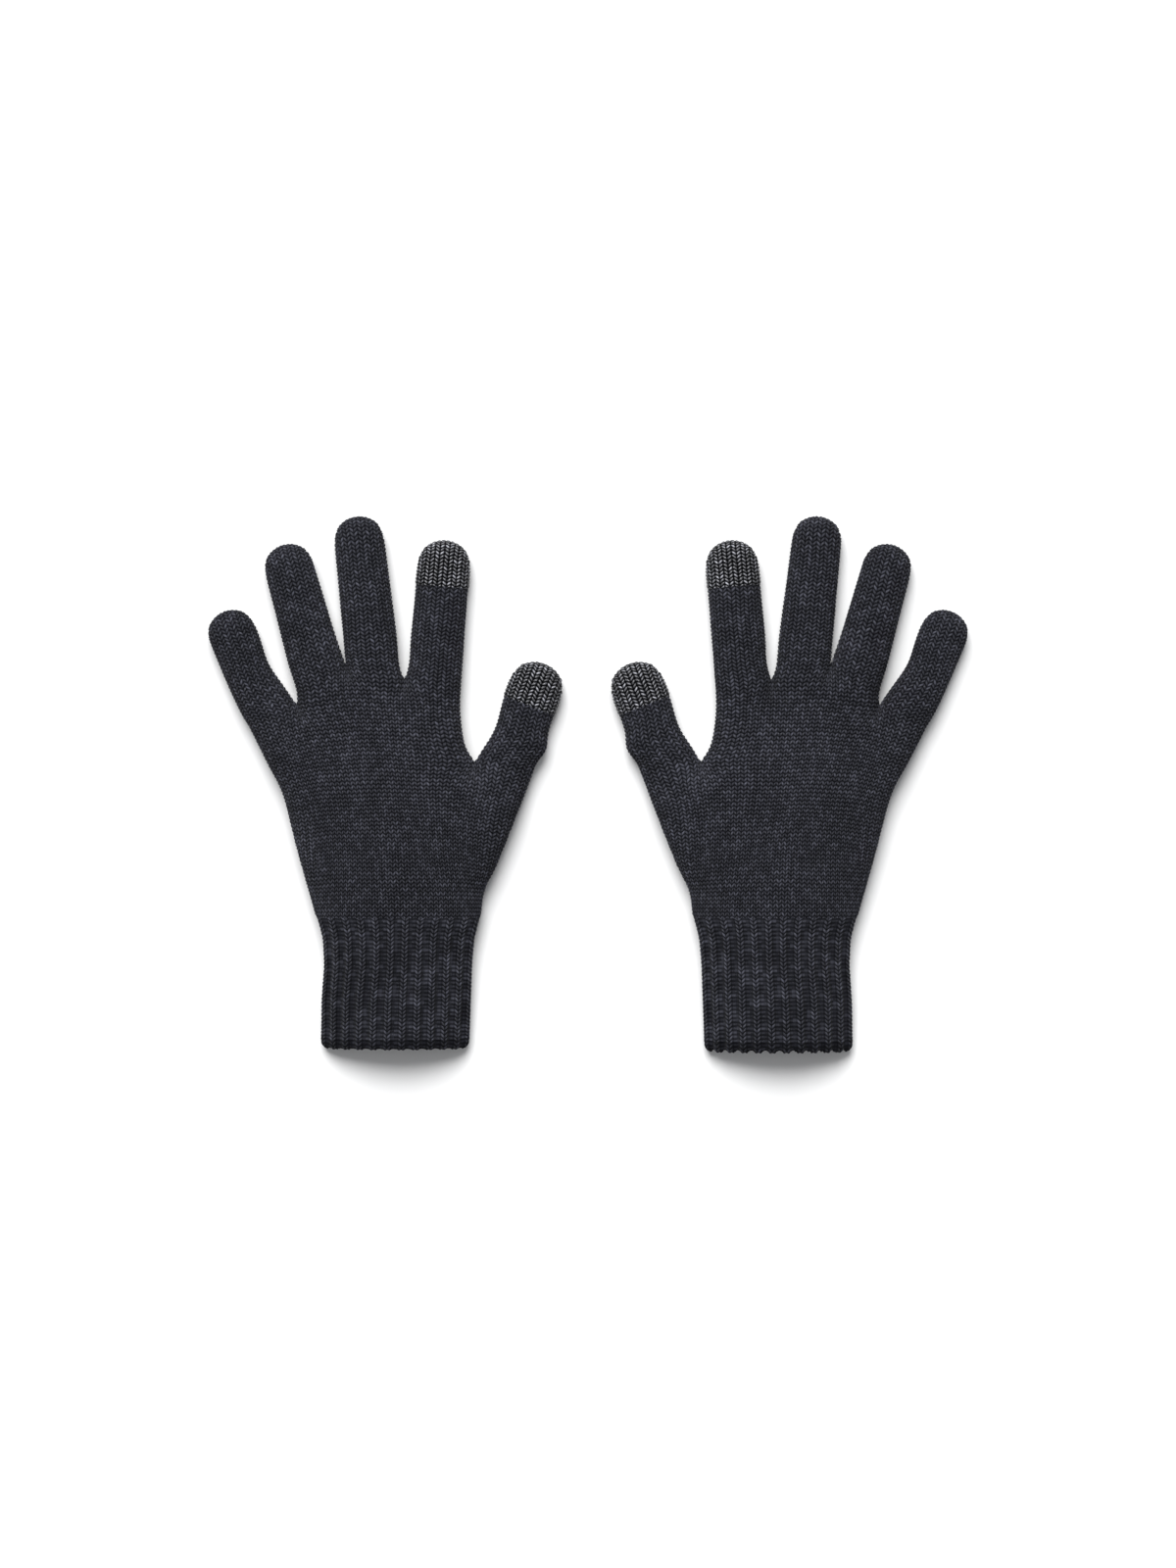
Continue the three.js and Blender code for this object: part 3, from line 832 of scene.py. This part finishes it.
def finish_piece(thing, slot, *nodes):
    thing.data.materials.append(MATERIALS[slot])
    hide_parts(*nodes)


# ---------------------------------------------------------------- the gloves
LEVELS = 3
LINING_LEVELS = 2
LINING_END = 84.0  # how far up the lining is made: beyond this it can't be seen


def world_point(x, y, z, mirrored):
    sign = -1.0 if mirrored else 1.0
    return (sign * (x - SPREAD) * MM, (y - LENGTH / 2) * MM, z * MM)


def lining_of(cage, label):
    """The inside of the fabric of a piece: its cage, moved in by the fabric's thickness and turned over."""
    points, faces, labels = np.array(cage.points), np.array(cage.faces), np.array(cage.labels)
    inner = points.copy()
    y = points[:, 1:2]
    thickness = mix(RIB_KNIT, 0.5, smooth((y - WRIST) / (LINING_END - WRIST)))
    inner[:, :3] -= normals_of(points[:, :3], faces) * thickness
    low = points[faces][:, :, 1].min(1)
    keep = (labels == label) & (low < LINING_END - ROW)
    kept, index, _ = part_of(inner, faces, keep, {})
    kept, index, _ = refine(kept, index, labels[keep], LINING_LEVELS)
    normal = normals_of(kept[:, :3], index)
    purl = 0.5 + 0.5 * np.cos(2 * math.pi * kept[:, 4])
    return kept[:, :3] - normal * (purl * LINING_RELIEF)[:, None], index[:, ::-1], kept


def refine(points, faces, labels, levels):
    for _ in range(levels):
        points, faces = subdivide(points, faces)
        labels = np.repeat(labels, 4)
    return points, faces, labels


HEM_LIFT_REACH = 40.0


def drifted(points, drift, lift):
    """A glove that doesn't lie quite straight: its cuff and thumb move sideways, and its hem up."""
    x, y = points[:, 0], points[:, 1]
    share = 1 - smooth((y - 95.0) / 50.0) * (1 - smooth((x - 38.0) / 12.0))
    moved = points.copy()
    moved[:, 0] += drift * share
    moved[:, 1] += lift * (1 - smooth(y / HEM_LIFT_REACH))
    return moved


def build_glove(side, seed, scallop, drift, lift):
    mirrored = side == "left"
    cage = build_cage(seed)
    points, faces, labels = refine(np.array(cage.points), np.array(cage.faces), np.array(cage.labels), LEVELS)
    points = drifted(points, drift, lift)
    place = displaced(points, faces, scallop)
    slots = {"palm": "plain_knit", "cuff_rib": "rib_knit", "cuff_hem": "hem_knit"}
    for label in sorted(set(cage.labels)):
        part, index, fields = part_of(place, faces, labels == label, {"all": points})
        fields = stitch_fields(fields["all"], label)
        if label in ("palm", "cuff_rib"):
            inner, inner_faces, carried = lining_of(cage, label)
            inner = drifted(inner, drift, lift)
            index = np.concatenate([index, inner_faces + len(part)])
            part = np.concatenate([part, inner])
            inner_fields = stitch_fields(carried, label)
            inner_fields["purl"] = np.ones(len(inner))
            fields = {key: np.concatenate([fields[key], inner_fields[key]]) for key in fields}
        thing = make_object(f"{side}_{label}_knit", part, index, fields, mirrored)
        slot = slots.get(label, "touch_yarn" if label.endswith("touch_tip") else "plain_knit")
        finish_piece(thing, slot, f"{side}_{label}")
        attach(thing, side, label)


def attach(thing, side, label):
    """Makes a piece move with its body; a piece that joins two bodies is left free, its place baked into its mesh.
    """
    if label == "palm":
        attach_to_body(thing, f"{side}_hand")
    elif label == "cuff_hem":
        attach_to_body(thing, f"{side}_cuff")
    elif label == "cuff_rib":
        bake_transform(thing)
    else:
        name = label.split("_")[0]
        if label.endswith("lower"):
            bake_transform(thing)
        elif label.endswith("upper"):
            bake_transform(thing)
        else:
            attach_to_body(thing, f"{side}_{name}_upper")


build_glove("right", 0.4, 0.18, 0.0, 1.1)
build_glove("left", 2.9, 1.0, 1.1, 0.0)


# ---------------------------------------------------------------- the elastic yarn in each cuff
ELASTIC_TURNS = 4
ELASTIC_START = 14.0
ELASTIC_PITCH = 7.0
ELASTIC_RADIUS = 0.5
ELASTIC_DEPTH = 1.2  # from the rib's inside to the middle of the yarn
ELASTIC_STEPS = 160


def build_elastic(side):
    mirrored = side == "left"
    steps = ELASTIC_TURNS * ELASTIC_STEPS
    path = []
    for i in range(steps + 1):
        y = ELASTIC_START + ELASTIC_PITCH * i / ELASTIC_STEPS
        loop, _ = cuff_loop(y, -RIB_KNIT - ELASTIC_DEPTH)
        at = (i % ELASTIC_STEPS) * len(loop) / ELASTIC_STEPS
        a, b = loop[int(at) % len(loop)], loop[(int(at) + 1) % len(loop)]
        x, z = mix(a, b, at % 1.0)
        path.append((x, y, z))
    path = np.array(path)
    curve = bpy.data.curves.new(f"{side}_cuff_elastic_yarn", "CURVE")
    curve.dimensions = "3D"
    curve.bevel_depth = ELASTIC_RADIUS * MM
    curve.bevel_resolution = 2
    curve.use_fill_caps = True
    spline = curve.splines.new("POLY")
    spline.points.add(len(path) - 1)
    for point, place in zip(spline.points, path):
        point.co = (*world_point(*place, mirrored), 1.0)
    thing = bpy.data.objects.new(f"{side}_cuff_elastic_yarn", curve)
    bpy.context.scene.collection.objects.link(thing)
    bpy.context.view_layer.update()
    mesh = bpy.data.meshes.new_from_object(thing.evaluated_get(bpy.context.evaluated_depsgraph_get()))
    mesh.name = f"{side}_cuff_elastic_coil"
    bpy.data.objects.remove(thing)
    coil = bpy.data.objects.new(mesh.name, mesh)
    coil.data.materials.clear()
    bpy.context.scene.collection.objects.link(coil)
    finish_piece(coil, "elastic_yarn", f"{side}_cuff_elastic")
    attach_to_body(coil, f"{side}_cuff")


for glove_side in ("right", "left"):
    build_elastic(glove_side)


# ---------------------------------------------------------------- floor and light
FLOOR_HALF = 6.0
FLOOR_GREY = 0.66
KEY_ANGLE = 42.0  # degrees: the size of the soft light
KEY_TOWARDS = (-0.2, 1.0, 1.2)
KEY_STRENGTH = 5.6
SKY, HORIZON = 0.47, 1.05


def plain_material(name, colour, roughness):
    material = bpy.data.materials.new(name)
    material.use_nodes = True
    shader = material.node_tree.nodes["Principled BSDF"]
    shader.inputs["Base Color"].default_value = (*colour, 1)
    shader.inputs["Roughness"].default_value = roughness
    return material


def add_floor():
    corners = [(x * FLOOR_HALF, y * FLOOR_HALF, 0) for x, y in ((-1, -1), (1, -1), (1, 1), (-1, 1))]
    mesh = bpy.data.meshes.new("floor")
    mesh.from_pydata(corners, [], [(0, 1, 2, 3)])
    floor = bpy.data.objects.new("floor", mesh)
    floor.data.materials.append(plain_material("floor", (FLOOR_GREY,) * 3, 0.7))
    bpy.context.scene.collection.objects.link(floor)


def add_sun():
    """A large soft light, far away over the fingertips and a little to the left."""
    data = bpy.data.lights.new("key", "SUN")
    data.angle = math.radians(KEY_ANGLE)
    data.energy = KEY_STRENGTH
    light = bpy.data.objects.new("key", data)
    light.rotation_euler = (-Vector(KEY_TOWARDS)).to_track_quat("-Z", "Y").to_euler()
    bpy.context.scene.collection.objects.link(light)


def add_world():
    """An even sky, as bright as the floor along the horizon."""
    world = bpy.data.worlds.new("studio")
    world.use_nodes = True
    nodes, links = world.node_tree.nodes, world.node_tree.links
    where = nodes.new("ShaderNodeTexCoord")
    parts = nodes.new("ShaderNodeSeparateXYZ")
    level = nodes.new("ShaderNodeMapRange")
    links.new(where.outputs["Generated"], parts.inputs[0])
    links.new(parts.outputs["Z"], level.inputs["Value"])
    for name, value in (("From Min", 0.0), ("From Max", 0.2), ("To Min", HORIZON), ("To Max", SKY)):
        level.inputs[name].default_value = value
    background = nodes["Background"]
    background.inputs["Color"].default_value = (0.97, 0.98, 1.0, 1)
    links.new(level.outputs["Result"], background.inputs["Strength"])
    bpy.context.scene.world = world


add_floor()
add_sun()
add_world()
bpy.context.scene.view_settings.view_transform = "Standard"
